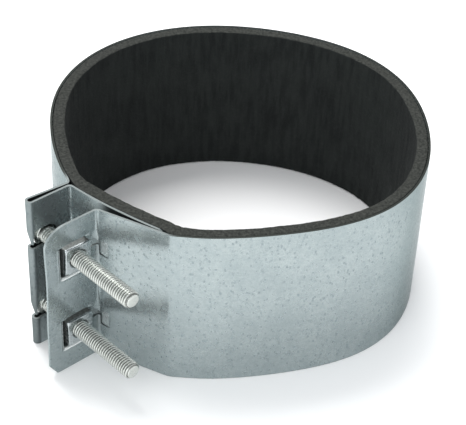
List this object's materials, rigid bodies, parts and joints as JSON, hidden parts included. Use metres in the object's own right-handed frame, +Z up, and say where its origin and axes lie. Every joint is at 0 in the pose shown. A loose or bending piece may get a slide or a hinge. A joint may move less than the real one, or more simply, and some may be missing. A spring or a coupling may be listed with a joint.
{
  "type": "foam-lined duct clamp",
  "caption": "Galvanised sheet-steel clamp band lined with foam rubber, drawn together by bolts and square nuts to join round ventilation ducts.",
  "frame": {"origin": "middle of the whole part's footprint, in the plane of the band's lower rim; the ring's own axis stands 10.74 mm from it towards +Y", "axes": "+Z up along the duct axis, -Y towards the closure with the two lugs, +X from the bolt heads to the bolt tips"},
  "size_m": [0.1353, 0.157, 0.06],
  "materials": {
    "galvanised_sheet": "hot-dip galvanised, pale bluish grey with fine dark specks",
    "foam_rubber": "matt black cellular rubber",
    "zinc_bolt": "bright zinc plated",
    "zinc_nut": "bright zinc plated"
  },
  "bodies": {
    "rear_half": {"band_rear": "galvanised_sheet", "band_tongue": "galvanised_sheet", "foam_liner_rear": "foam_rubber", "foam_liner_closure": "foam_rubber"},
    "front_half": {"band_front": "galvanised_sheet", "foam_liner_front": "foam_rubber"},
    "bolt_upper": {"bolt_upper": "zinc_bolt"},
    "bolt_lower": {"bolt_lower": "zinc_bolt"},
    "nut_upper": {"nut_upper": "zinc_nut"},
    "nut_lower": {"nut_lower": "zinc_nut"}
  },
  "joints": [
    {"name": "band_flex", "type": "hinge", "parent": "rear_half", "child": "front_half", "pos_m": [0.0093, 0.07751, 0.03], "axis": [0, 0, 1], "range_deg": [-3.7, 4.5], "deforming": ["band_tongue", "foam_liner_closure", "foam_liner_front"]},
    {"name": "nut_upper_travel", "type": "slide", "parent": "rear_half", "child": "nut_upper", "axis": [1, 0, 0], "range_m": [-0.0094, 0.0114]},
    {"name": "nut_lower_travel", "type": "slide", "parent": "rear_half", "child": "nut_lower", "axis": [1, 0, 0], "range_m": [-0.0094, 0.0114]},
    {"name": "bolt_upper_turn", "type": "hinge", "parent": "rear_half", "child": "bolt_upper", "pos_m": [-0.0083, -0.06626, 0.045], "axis": [1, 0, 0], "continuous": true},
    {"name": "bolt_lower_turn", "type": "hinge", "parent": "rear_half", "child": "bolt_lower", "pos_m": [-0.0083, -0.06626, 0.015], "axis": [1, 0, 0], "continuous": true}
  ],
  "couplings": [
    {"joint": "nut_upper_travel", "follows": "band_flex", "m_per_rad": 0.1438},
    {"joint": "nut_lower_travel", "follows": "band_flex", "m_per_rad": 0.1438},
    {"joint": "bolt_upper_turn", "follows": "band_flex", "ratio": -903.5},
    {"joint": "bolt_lower_turn", "follows": "band_flex", "ratio": -903.5}
  ]
}
